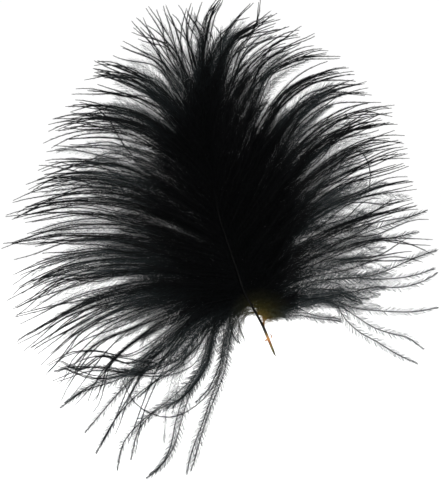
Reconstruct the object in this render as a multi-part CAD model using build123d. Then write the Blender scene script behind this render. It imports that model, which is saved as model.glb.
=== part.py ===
from build123d import *
import math
import os

# A black-dyed marabou plume, standing upright on its quill. Millimetres.
# +Z runs up the plume, +X to its right, and its front faces -Y.
# The origin is the centre of the quill's free end.

# Quill: a hollow round tube that leans to the left as it rises
QUILL_LEAN = math.radians(22.4)
QUILL_R = 0.40
QUILL_BORE_R = 0.27
QUILL_LENGTH = 8.2
TIP_LENGTH = 1.0
TIP_R = 0.14
TIP_HOLE_R = 0.06
PLUG_THICKNESS = 0.30
CAP_R = 0.25
CAP_THICKNESS = 0.22
CAP_PITCH = 0.95
CAP_COUNT = 6
FIRST_CAP = 0.80
PLUG_GAP = 0.02
FLAKE_GAP = 0.03
# Each sheath flake: distance up the quill, angle round it, width, height, thickness
FLAKES = [(4.30, 90, 0.42, 0.50, 0.07), (4.55, -75, 0.36, 0.42, 0.06)]

# Shafts: (x, y, z) points that the centre lines pass through, foot to top
SHAFT_FOOT = (-3.29, 0.0, 7.98)
SHAFT_LOWER = [SHAFT_FOOT, (-5.6, 0.0, 12.2), (-8.1, 0.0, 16.6), (-10.4, 0.0, 23.3),
               (-13.3, 0.0, 31.8), (-15.7, 0.0, 39.5), (-17.0, 0.0, 49.6), (-18.4, 0.0, 58.5),
               (-19.0, 0.0, 67.0)]
SHAFT_UPPER = [(-19.05, 0.0, 67.9), (-19.0, 0.0, 74.0), (-18.5, 0.0, 82.0), (-17.7, 0.0, 90.0)]
AFTERSHAFT = [(-2.81, 0.52, 8.20), (-3.1, 1.1, 11.0), (-2.5, 1.7, 14.5), (-2.6, 2.3, 20.0),
              (-4.4, 3.0, 29.0), (-7.2, 3.5, 38.0)]
SHAFT_R = (0.33, 0.18)
SHAFT_TOP_R = (0.16, 0.09)
AFTERSHAFT_R = (0.22, 0.11)
PITH_SHARE = 0.55
PITH_CLEARANCE = 0.02
BORE_SPAN = (0.030, 0.970)
PITH_SPAN = (0.032, 0.968)
SHAFT_SIDES = 10
BALL_SHARE = 0.96

# Barbs: tapering blades, a rhombus in section
BARB_SECTIONS = 9
BARB_HALF_WIDTH = (0.27, 0.09)
BARB_HALF_DEPTH = (0.21, 0.07)
BARB_SCALE = {"main": 1.0, "crown": 0.62, "after": 0.8}
ROOT_CLEARANCE = 0.22
LEAVE_PULL = 0.36
ARRIVE_PULL = 0.34

# One row for each place along the shaft where the vane's flow is known: the share of the shaft's
# length at the root, the tip's x and z, and the barb's headings as it leaves and as it ends, in
# degrees from +X towards +Z
LEFT_VANE = [
    (0.092, -23.0, -33.0, 198, 266), (0.108, -34.0, -34.2, 195, 252),
    (0.130, -44.0, -31.0, 191, 241), (0.165, -54.5, -20.0, 187, 232),
    (0.205, -63.0, -8.0, 182, 222), (0.250, -72.0, 3.0, 175, 214),
    (0.310, -75.8, 15.0, 168, 208), (0.380, -75.4, 27.5, 160, 205),
    (0.460, -72.0, 42.5, 151, 203), (0.540, -66.5, 55.0, 146, 200),
    (0.620, -60.0, 67.0, 140, 191), (0.700, -53.0, 77.5, 131, 180),
    (0.780, -46.0, 86.5, 122, 166), (0.860, -37.5, 94.0, 115, 150),
    (0.930, -29.0, 97.8, 109, 130), (1.000, -20.8, 98.8, 98, 106)]
RIGHT_VANE = [
    (0.055, 39.0, -3.0, 12, -33), (0.078, 42.8, 1.2, 15, -27),
    (0.115, 46.4, 12.0, 21, 2), (0.165, 45.2, 22.4, 27, 20),
    (0.220, 44.6, 28.5, 33, 22), (0.280, 42.2, 34.4, 39, 17), (0.340, 42.4, 40.0, 45, 18),
    (0.430, 40.4, 48.5, 50, 16), (0.520, 38.0, 57.0, 55, 14),
    (0.600, 34.0, 65.0, 60, 8), (0.680, 29.0, 73.0, 65, 5),
    (0.760, 22.0, 81.0, 71, 5), (0.840, 12.5, 88.0, 77, 8),
    (0.920, 0.0, 94.0, 82, 20), (1.000, -9.5, 97.5, 86, 48)]
AFTER_LEFT = [
    (0.10, -44.0, 12.0, 178, 200), (0.32, -50.0, 25.0, 165, 196),
    (0.55, -47.0, 38.0, 152, 190), (0.78, -40.0, 50.0, 138, 180), (1.00, -30.0, 58.0, 122, 160)]
AFTER_RIGHT = [
    (0.10, 30.0, 12.5, 22, -6), (0.32, 33.0, 22.0, 30, 8),
    (0.55, 31.0, 33.0, 40, 14), (0.78, 25.0, 43.0, 50, 22), (1.00, 16.0, 51.0, 62, 38)]
AFTER_TOP = [
    (0.944, -22.0, 60.0, 118, 132), (0.972, 4.0, 58.0, 52, 62), (1.000, -5.6, 62.0, 88, 88)]
FLUFF_LEFT = [(0.052, -9.8, 3.2, 180, 292), (0.076, -14.6, -2.0, 186, 272)]
FLUFF_RIGHT = [(0.012, 1.2, 11.4, 66, -8), (0.034, 5.4, 10.2, 50, -22)]
TUFT = [
    (0.972, -20.6, 96.6, 108, 116), (0.986, -14.0, 97.2, 60, 74), (1.000, -17.4, 98.4, 92, 90)]

# Each group of barbs: node, shaft, flow, first and last root share, barbs, and the leans of its
# layers out of the vane's plane in degrees, where minus is towards the front
GROUPS = [
    ("left_base_barbs", "main", LEFT_VANE, 0.092, 0.176, 8, (-11, 2, -5)),
    ("left_lower_barbs", "main", LEFT_VANE, 0.188, 0.400, 20, (-12, 2, -5)),
    ("left_middle_barbs", "main", LEFT_VANE, 0.420, 0.560, 13, (-13, 3, -5)),
    ("left_upper_barbs", "main", LEFT_VANE, 0.571, 0.690, 11, (-13, 3, -5)),
    ("crown_left_barbs", "crown", LEFT_VANE, 0.722, 0.960, 16, (-14, 4, -5)),
    ("right_base_barbs", "main", RIGHT_VANE, 0.055, 0.150, 9, (-11, 2, -5)),
    ("right_lower_barbs", "main", RIGHT_VANE, 0.162, 0.400, 20, (-12, 2, -5)),
    ("right_middle_barbs", "main", RIGHT_VANE, 0.420, 0.560, 12, (-13, 3, -5)),
    ("right_upper_barbs", "main", RIGHT_VANE, 0.571, 0.690, 10, (-13, 3, -5)),
    ("crown_right_barbs", "crown", RIGHT_VANE, 0.722, 0.960, 14, (-14, 4, -5)),
    ("crown_tuft", "crown", TUFT, 0.972, 1.000, 3, (-9, 5)),
    ("base_fluff_left", "main", FLUFF_LEFT, 0.052, 0.076, 3, (-9, 3, -18)),
    ("base_fluff_right", "main", FLUFF_RIGHT, 0.014, 0.034, 3, (-9, 3, -18)),
    ("aftershaft_left_barbs", "after", AFTER_LEFT, 0.10, 0.90, 15, (6, 12)),
    ("aftershaft_right_barbs", "after", AFTER_RIGHT, 0.10, 0.90, 15, (6, 12)),
    ("aftershaft_top_barbs", "after", AFTER_TOP, 0.944, 1.000, 3, (5, 10))]


def mix(a, b, t):
    """The value a share t of the way from a to b."""
    return a + (b - a) * t


def quill_plane(distance):
    """A plane square to the quill, at a distance up it from its free end."""
    up = Vector(-math.sin(QUILL_LEAN), 0, math.cos(QUILL_LEAN))
    return Plane(origin=up * distance, x_dir=(0, 1, 0), z_dir=up)


def calamus():
    """The hollow quill, with its pointed lower end and the small hole in it."""
    wall = Solid.make_cylinder(QUILL_R, QUILL_LENGTH, quill_plane(0))
    point = Solid.make_cone(TIP_R, QUILL_R, TIP_LENGTH, quill_plane(-TIP_LENGTH))
    bore = Solid.make_cylinder(QUILL_BORE_R, QUILL_LENGTH, quill_plane(0))
    funnel = Solid.make_cone(TIP_HOLE_R, QUILL_BORE_R, TIP_LENGTH, quill_plane(-TIP_LENGTH))
    return [(Part() + wall + point - bore - funnel).solid()]


def pulp_caps():
    """The dried caps of pulp, stacked inside the quill."""
    return [Solid.make_cylinder(CAP_R, CAP_THICKNESS, quill_plane(FIRST_CAP + CAP_PITCH * i))
            for i in range(CAP_COUNT)]


def quill_plug():
    """The dried skin that closes the quill's bore just under the shafts."""
    return [Solid.make_cylinder(CAP_R, PLUG_THICKNESS,
                                quill_plane(QUILL_LENGTH - PLUG_THICKNESS - PLUG_GAP))]


def sheath_flakes():
    """Two papery flakes of sheath that stand just off the quill's wall."""
    flakes = []
    for distance, angle, width, height, thickness in FLAKES:
        at = quill_plane(distance).rotated((0, 0, angle))
        offset = Pos(QUILL_R + FLAKE_GAP + thickness / 2, 0, 0)
        flakes.append((at * offset * Box(thickness, width, height)).solid())
    return flakes


def shaft_curve(points):
    """The smooth centre line of a shaft."""
    return Spline(*points)


def tapered_tube(curve, radii, scale=1.0, start=0.0, end=1.0, steps=14):
    """A round tapering rod along a curve, with flat ends."""
    rings = []
    for i in range(steps + 1):
        t = mix(start, end, i / steps)
        radius = mix(radii[0], radii[1], t) * scale
        section = Plane(origin=curve @ t, x_dir=(0, 1, 0), z_dir=curve % t)
        corners = [section.from_local_coords(
            (radius * math.cos(math.tau * k / SHAFT_SIDES),
             radius * math.sin(math.tau * k / SHAFT_SIDES), 0)) for k in range(SHAFT_SIDES)]
        rings.append(Wire.make_polygon(corners))
    return Solid.make_loft(rings, ruled=True)


def rachis():
    """The horny wall of the main shaft, round its pith, on a ball that rolls on the quill."""
    curve = shaft_curve(SHAFT_LOWER)
    wall = tapered_tube(curve, SHAFT_R)
    bore = tapered_tube(curve, SHAFT_R, PITH_SHARE, *BORE_SPAN)
    ball = Solid.make_sphere(SHAFT_R[0] * BALL_SHARE, Plane(origin=SHAFT_FOOT), -90, 90)
    return [(Part() + wall + ball - bore).solid()]


def rachis_pith():
    """The white pith inside the main shaft."""
    share = PITH_SHARE - PITH_CLEARANCE / SHAFT_R[1]
    return [tapered_tube(shaft_curve(SHAFT_LOWER), SHAFT_R, share, *PITH_SPAN)]


def rachis_tip():
    """The hair-thin top stretch of the main shaft."""
    return [tapered_tube(shaft_curve(SHAFT_UPPER), SHAFT_TOP_R, steps=8)]


def hyporachis():
    """The aftershaft's own shaft, on a small ball beside the main one."""
    wall = tapered_tube(shaft_curve(AFTERSHAFT), AFTERSHAFT_R, steps=10)
    ball = Solid.make_sphere(AFTERSHAFT_R[0] * BALL_SHARE, Plane(origin=AFTERSHAFT[0]), -90, 90)
    return [(Part() + wall + ball).solid()]


def flow_at(stations, share):
    """The tip and headings of a barb whose root is at a share of the shaft's length."""
    share = min(max(share, stations[0][0]), stations[-1][0])
    for low, high in zip(stations, stations[1:]):
        if share <= high[0]:
            t = (share - low[0]) / (high[0] - low[0])
            return [mix(a, b, t) for a, b in zip(low, high)][1:]


def shaft_point(shaft, share):
    """A point on a shaft's centre line and the shaft's radius there."""
    if shaft == "after":
        curve, radii, t = CURVES["after"], AFTERSHAFT_R, share
    elif share <= LOWER_SHARE:
        curve, radii, t = CURVES["lower"], SHAFT_R, share / LOWER_SHARE
    else:
        curve, radii = CURVES["upper"], SHAFT_TOP_R
        t = (share - LOWER_SHARE) / (1 - LOWER_SHARE)
    return curve @ t, mix(radii[0], radii[1], t)


def barb_line(shaft, stations, share, lean):
    """The centre line of one barb, from its root beside the shaft to its tip."""
    foot, radius = shaft_point(shaft, share)
    tip_x, tip_z, leave, arrive = flow_at(stations, share)
    leave_way = Vector(math.cos(math.radians(leave)), 0, math.sin(math.radians(leave)))
    arrive_way = Vector(math.cos(math.radians(arrive)), 0, math.sin(math.radians(arrive)))
    side = -1 if tip_x < foot.X else 1
    stand_off = radius + ROOT_CLEARANCE + BARB_HALF_WIDTH[0] * BARB_SCALE[shaft]
    root = foot + Vector(side * stand_off, 0, 0)
    tip = Vector(tip_x, root.Y, tip_z)
    reach = (tip - root).length
    pulls = [root, root + leave_way * reach * LEAVE_PULL, tip - arrive_way * reach * ARRIVE_PULL, tip]
    line = []
    for i in range(BARB_SECTIONS):
        t = i / (BARB_SECTIONS - 1)
        weights = [(1 - t) ** 3, 3 * t * (1 - t) ** 2, 3 * t * t * (1 - t), t ** 3]
        point = Vector(0, 0, 0)
        for weight, pull in zip(weights, pulls):
            point += pull * weight
        out = (point - root).length * math.tan(math.radians(lean))
        line.append(point + Vector(0, out, 0))
    return line


def barb(line, scale):
    """One barb: a tapering blade along its centre line."""
    rings = []
    last = len(line) - 1
    for i, point in enumerate(line):
        way = (line[min(i + 1, last)] - line[max(i - 1, 0)]).normalized()
        across = way.cross(Vector(0, 1, 0)).normalized()
        depth = way.cross(across).normalized()
        half_width = mix(*BARB_HALF_WIDTH, i / last) * scale
        half_depth = mix(*BARB_HALF_DEPTH, i / last) * scale
        rings.append(Wire.make_polygon([point + across * half_width, point + depth * half_depth,
                                        point - across * half_width, point - depth * half_depth]))
    return Solid.make_loft(rings, ruled=True)


def group_lines(shaft, stations, first, last, count, leans):
    """The centre lines of a group's barbs."""
    return [barb_line(shaft, stations, mix(first, last, i / (count - 1)), leans[i % len(leans)])
            for i in range(count)]


def save(name, solids):
    """Write one node's solids to its own file."""
    for number, solid in enumerate(solids):
        solid.label = f"{name}_{number}"
    export_step(Compound(label=name, children=solids), f"parts/{name}.step")


CURVES = {"lower": shaft_curve(SHAFT_LOWER), "upper": shaft_curve(SHAFT_UPPER),
          "after": shaft_curve(AFTERSHAFT)}
LOWER_SHARE = CURVES["lower"].length / (CURVES["lower"].length + CURVES["upper"].length)
LINES = {name: group_lines(*layout) for name, *layout in GROUPS}
SCALES = {name: BARB_SCALE[shaft] for name, shaft, *_ in GROUPS}

os.makedirs("parts", exist_ok=True)
for make in (calamus, pulp_caps, quill_plug, sheath_flakes, rachis, rachis_pith, rachis_tip,
             hyporachis):
    save(make.__name__, make())
for name, lines in LINES.items():
    save(name, [barb(line, SCALES[name]) for line in lines])
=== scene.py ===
import math

import bpy
import numpy as np
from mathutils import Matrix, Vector


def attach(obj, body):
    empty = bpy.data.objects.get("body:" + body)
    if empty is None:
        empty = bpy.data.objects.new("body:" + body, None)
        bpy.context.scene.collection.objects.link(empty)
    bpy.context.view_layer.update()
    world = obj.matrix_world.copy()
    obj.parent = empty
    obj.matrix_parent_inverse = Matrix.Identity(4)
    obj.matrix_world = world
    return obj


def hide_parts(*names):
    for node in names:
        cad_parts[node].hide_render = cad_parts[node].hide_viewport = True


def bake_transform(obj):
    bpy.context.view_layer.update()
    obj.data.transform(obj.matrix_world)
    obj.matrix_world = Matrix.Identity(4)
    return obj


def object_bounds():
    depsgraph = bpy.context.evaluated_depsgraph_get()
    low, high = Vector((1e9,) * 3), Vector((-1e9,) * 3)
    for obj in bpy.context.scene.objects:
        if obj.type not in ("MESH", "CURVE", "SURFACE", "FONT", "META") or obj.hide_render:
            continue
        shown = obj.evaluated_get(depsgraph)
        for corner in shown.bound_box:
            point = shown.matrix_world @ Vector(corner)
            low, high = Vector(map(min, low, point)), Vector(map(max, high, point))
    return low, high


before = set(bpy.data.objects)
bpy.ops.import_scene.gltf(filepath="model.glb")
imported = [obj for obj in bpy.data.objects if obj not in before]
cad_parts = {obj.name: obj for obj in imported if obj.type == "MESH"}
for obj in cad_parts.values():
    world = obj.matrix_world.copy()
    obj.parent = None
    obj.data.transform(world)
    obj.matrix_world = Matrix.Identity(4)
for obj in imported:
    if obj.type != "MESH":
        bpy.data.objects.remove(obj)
CAD_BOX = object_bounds()

MM = 0.001

# How finely the centre lines are read from the CAD blades, the pith and the shaft's tip, how closely
# corners coincide there (decimals of a metre), and the points that a visible barb gets
GUIDE_RINGS, PITH_RINGS, TIP_RINGS = 9, 15, 9
MERGE_DECIMALS = 7
LINE_POINTS = 24
SHARE = np.linspace(0.0, 1.0, LINE_POINTS)

# Barb radii in metres at shares of its length
BARB_R = [(0.00, 0.100 * MM), (0.30, 0.090 * MM), (0.60, 0.120 * MM), (0.88, 0.128 * MM),
          (1.00, 0.065 * MM)]
STOUT_R = [(0.00, 0.110 * MM), (0.50, 0.110 * MM), (0.93, 0.140 * MM), (1.00, 0.080 * MM)]
THIN_R = [(0.00, 0.070 * MM), (0.50, 0.055 * MM), (1.00, 0.030 * MM)]
# How far a barb keeps its heading as it leaves the shaft and as it nears its end, as shares of the
# straight way, how much of its swing it has at its root, the scatter of its last heading in degrees,
# and how far its root is from the shaft's centre line
LEAVE_PULL, ARRIVE_PULL = 0.45, 0.42
ROOT_SWING = 0.6
ARRIVE_SCATTER = 8
ROOT_GAP = 0.12 * MM
# How often a barb waves on its way
WAVE_TURNS = (1.2, 2.7)

# How a barb carries its barbules. Each row: share of the barb's length, barbule length in metres
# and angle to the barb in degrees
HUGGING = [(0.00, 2.4 * MM, 44), (0.30, 2.6 * MM, 34), (0.60, 2.3 * MM, 22),
           (0.80, 1.7 * MM, 13), (0.92, 1.2 * MM, 9), (1.00, 0.7 * MM, 6)]
OPEN = [(0.00, 2.0 * MM, 44), (0.30, 2.6 * MM, 44), (0.75, 2.4 * MM, 41),
        (0.90, 1.9 * MM, 34), (0.97, 1.3 * MM, 20), (1.00, 0.7 * MM, 8)]
DOWN = [(0.00, 2.6 * MM, 52), (0.50, 3.0 * MM, 42), (0.85, 2.6 * MM, 32), (1.00, 1.4 * MM, 18)]
# Each kind of barb: its barbules, the step between them, half their width, the barb's own radii,
# and how many barbules cling together
FINE = (HUGGING, 0.28 * MM, 0.028 * MM, BARB_R, 1)
FRINGE = (OPEN, 0.12 * MM, 0.038 * MM, STOUT_R, 5)
LIGHT_FRINGE = (OPEN, 0.17 * MM, 0.034 * MM, THIN_R, 3)
VEIL = (DOWN, 0.22 * MM, 0.027 * MM, THIN_R, 4)
DOWNY = (DOWN, 0.34 * MM, 0.045 * MM, BARB_R, 1)
# The barbules that grow straight from a shaft, and the places of their rows, in millimetres from
# its middle towards its back
LINING = (DOWN, 0.05 * MM, 0.045 * MM, THIN_R, 1)
LINING_AT = (0.0, 0.12, 0.20)
# How wide a barbule's tip is beside its foot, how long it is beside its usual length, the scatter
# of its angle and its roll about the barb in degrees and radians, and how much of both it shares
# with its clump and keeps for itself
BARBULE_TAPER = 0.6
BARBULE_SPAN = (0.75, 1.15)
BARBULE_BEND, BARBULE_ROLL = 4, 0.45
BEND_SHARED, BEND_OWN = 1.0, 0.5
ROLL_SHARED, ROLL_OWN = 0.3, 0.9
# The share of a barb's length that carries barbules, where the first one stands, the scatter of
# their places in steps, and how much of a step each barbule of a clump is drawn to the one before
BARBULED, FIRST_BARBULE = 0.97, 0.02
PLACE_SCATTER = 0.6
CLINGING = 0.50
# The most triangles in one piece, and the triangles of one barbule
MOST_FACES = 180000
BARBULE_FACES = 4
# What brings the sum of two unit vectors at right angles back to unit length
SQUARE = math.sqrt(0.5)

# The barbs lie along the shaft before they spread. Each row: height at which the CAD blade leaves
# the shaft, height at which the visible barb does, and its heading there, in degrees from +X
LEFT_SWEEP = [(15.0, 14.6, 200), (21.5, 16.8, 188), (28.6, 19.4, 178), (33.7, 22.8, 171),
              (39.8, 28.0, 160), (47.0, 36.5, 146), (54.0, 45.0, 130), (68.0, 54.0, 118),
              (81.5, 62.0, 105), (90.0, 75.0, 96)]
RIGHT_SWEEP = [(12.0, 10.3, 14), (17.3, 11.6, 22), (26.0, 14.0, 32), (36.3, 16.8, 42),
               (44.3, 20.2, 48), (52.3, 23.6, 52), (59.3, 28.6, 56), (66.4, 35.4, 62),
               (73.0, 46.0, 74), (84.5, 64.6, 84), (90.0, 75.0, 88)]
LEFT_NODES = ["left_base_barbs", "left_lower_barbs", "left_middle_barbs", "left_upper_barbs",
              "crown_left_barbs"]
RIGHT_NODES = ["right_base_barbs", "right_lower_barbs", "right_middle_barbs",
               "right_upper_barbs", "crown_right_barbs"]

# Each stretch of a vane: node, body, side, lowest and highest CAD root height, its strands, its
# single open barbs and their kind, its short inner barbs and the share of their length they
# reach, and the seed of its randomness
STRETCHES = [
    ("left_base_barbs", "left_lower", -1, 16.5, 24.5, 4, 16, LIGHT_FRINGE, 20, 0.28, 11),
    ("left_lower_barbs", "left_lower", -1, 23.5, 43.0, 18, 54, VEIL, 60, 0.38, 12),
    ("left_middle_barbs", "left_upper", -1, 43.0, 56.5, 12, 42, VEIL, 44, 0.36, 13),
    ("left_upper_barbs", "left_upper", -1, 56.5, 69.0, 9, 34, VEIL, 40, 0.34, 14),
    ("crown_left_barbs", "crown", -1, 69.0, 88.0, 4, 22, VEIL, 36, 0.34, 15),
    ("crown_right_barbs", "crown", 1, 69.0, 90.0, 6, 44, VEIL, 60, 0.46, 17),
    ("right_upper_barbs", "right_upper", 1, 56.5, 69.0, 9, 44, VEIL, 66, 0.50, 18),
    ("right_middle_barbs", "right_upper", 1, 43.0, 56.5, 8, 30, VEIL, 50, 0.42, 19),
    ("right_lower_barbs", "right_lower", 1, 27.0, 43.0, 6, 8, LIGHT_FRINGE, 44, 0.30, 20),
    ("right_base_barbs", "right_lower", 1, 14.0, 27.0, 0, 6, LIGHT_FRINGE, 28, 0.20, 21)]

# Long strands that go their own way, with open barbules: the stretch that each belongs to, how
# many barbs it has, its lean out of the vane in degrees, and (x, z) points in millimetres on its way
FRINGED = [
    ("right_base_barbs", 1, -3, [(-3.4, 9.9), (3.0, 11.7), (10.0, 13.6), (17.0, 14.4), (21.7, 12.9),
                                 (30.4, 12.2), (39.0, 11.9), (45.8, 12.5)]),
    ("right_base_barbs", 1, 1, [(-3.4, 10.0), (3.5, 12.4), (11.0, 14.6), (17.0, 13.8), (22.8, 10.4),
                                (28.4, 7.0), (33.5, 5.3), (38.0, 4.4), (42.8, 1.2)]),
    ("right_base_barbs", 1, -6, [(-3.5, 10.2), (4.0, 12.9), (11.5, 15.3), (16.5, 13.8), (19.6, 9.6),
                                 (23.1, 6.6), (28.4, 3.8), (34.0, 0.0), (39.2, -3.0)]),
    ("right_base_barbs", 2, 3, [(-3.2, 9.7), (2.4, 11.2), (8.0, 11.3), (13.5, 10.2), (18.6, 9.4)]),
    ("right_base_barbs", 2, -4, [(-3.4, 10.4), (4.0, 13.6), (12.0, 17.2), (19.0, 17.0), (25.0, 14.4)]),
    ("right_lower_barbs", 1, 2, [(-4.6, 11.8), (3.0, 16.0), (11.0, 19.6), (20.0, 21.2), (30.4, 20.8),
                                 (37.0, 21.6), (44.9, 24.6)]),
    ("right_lower_barbs", 1, -4, [(-4.4, 11.4), (5.0, 14.6), (14.0, 16.0), (21.7, 17.3), (27.5, 18.8),
                                  (35.0, 18.8), (41.0, 20.4), (45.4, 22.8)]),
    ("right_lower_barbs", 1, -8, [(-5.0, 12.6), (4.0, 18.0), (13.0, 21.4), (21.0, 22.0), (29.0, 23.2),
                                  (36.3, 26.0), (44.6, 29.5)]),
    ("right_lower_barbs", 1, 0, [(-5.4, 13.4), (6.0, 21.6), (18.0, 28.5), (27.0, 32.0), (34.0, 32.6),
                                 (41.0, 34.2)]),
    ("right_lower_barbs", 1, -5, [(-5.6, 13.8), (6.0, 23.6), (18.0, 31.0), (27.0, 34.6), (35.0, 37.4),
                                  (42.6, 40.2)]),
    ("left_base_barbs", 2, -2, [(-6.9, 14.1), (-11.0, 13.2), (-13.0, 6.4), (-15.6, -5.6),
                                (-19.0, -14.6), (-22.6, -26.0), (-24.4, -33.4)]),
    ("left_base_barbs", 1, -4, [(-7.0, 14.3), (-13.4, 12.6), (-14.4, 4.8), (-15.2, -2.4), (-18.0, -8.6),
                                (-22.4, -13.0)]),
    ("left_base_barbs", 1, -7, [(-7.0, 14.5), (-15.2, 12.4), (-17.4, 4.6), (-19.6, -4.0), (-24.4, -10.4),
                                (-30.0, -14.6)]),
    ("left_base_barbs", 1, 3, [(-7.1, 14.8), (-17.6, 12.4), (-21.6, 5.4), (-26.4, -1.0), (-33.0, -5.0)]),
    ("left_base_barbs", 2, -5, [(-6.9, 14.2), (-13.0, 11.5), (-18.6, 0.0), (-24.0, -9.6),
                                (-26.4, -17.0), (-28.2, -24.5), (-31.4, -30.0), (-35.2, -33.2)]),
    ("left_base_barbs", 1, 1, [(-7.0, 14.6), (-15.0, 9.5), (-20.4, -4.4), (-26.5, -12.0),
                               (-34.0, -16.4), (-38.0, -21.0), (-40.6, -29.8)]),
    ("left_base_barbs", 1, 0, [(-7.0, 14.6), (-15.6, 9.5), (-22.0, -5.4), (-29.5, -12.6),
                               (-37.0, -18.4), (-42.0, -24.5), (-43.9, -32.4)]),
    ("left_base_barbs", 1, -8, [(-7.2, 15.0), (-18.0, 9.0), (-27.0, -3.4), (-35.6, -8.6),
                                (-42.0, -14.6), (-49.2, -26.0)]),
    ("left_base_barbs", 1, -1, [(-7.4, 15.4), (-20.0, 11.0), (-31.0, -1.2), (-39.6, -6.2),
                                (-46.4, -13.8), (-52.6, -21.8)]),
    ("left_base_barbs", 2, -6, [(-7.6, 15.8), (-20.0, 11.6), (-27.0, 5.0), (-35.0, -1.4),
                                (-43.6, -6.4), (-51.6, -9.0), (-59.0, -14.0)]),
    ("left_base_barbs", 1, -3, [(-7.8, 16.2), (-20.0, 7.0), (-25.6, 0.6), (-32.0, -3.2),
                                (-41.0, -4.6), (-48.0, -3.4), (-55.0, -3.0), (-61.0, -4.4)])]
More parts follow.
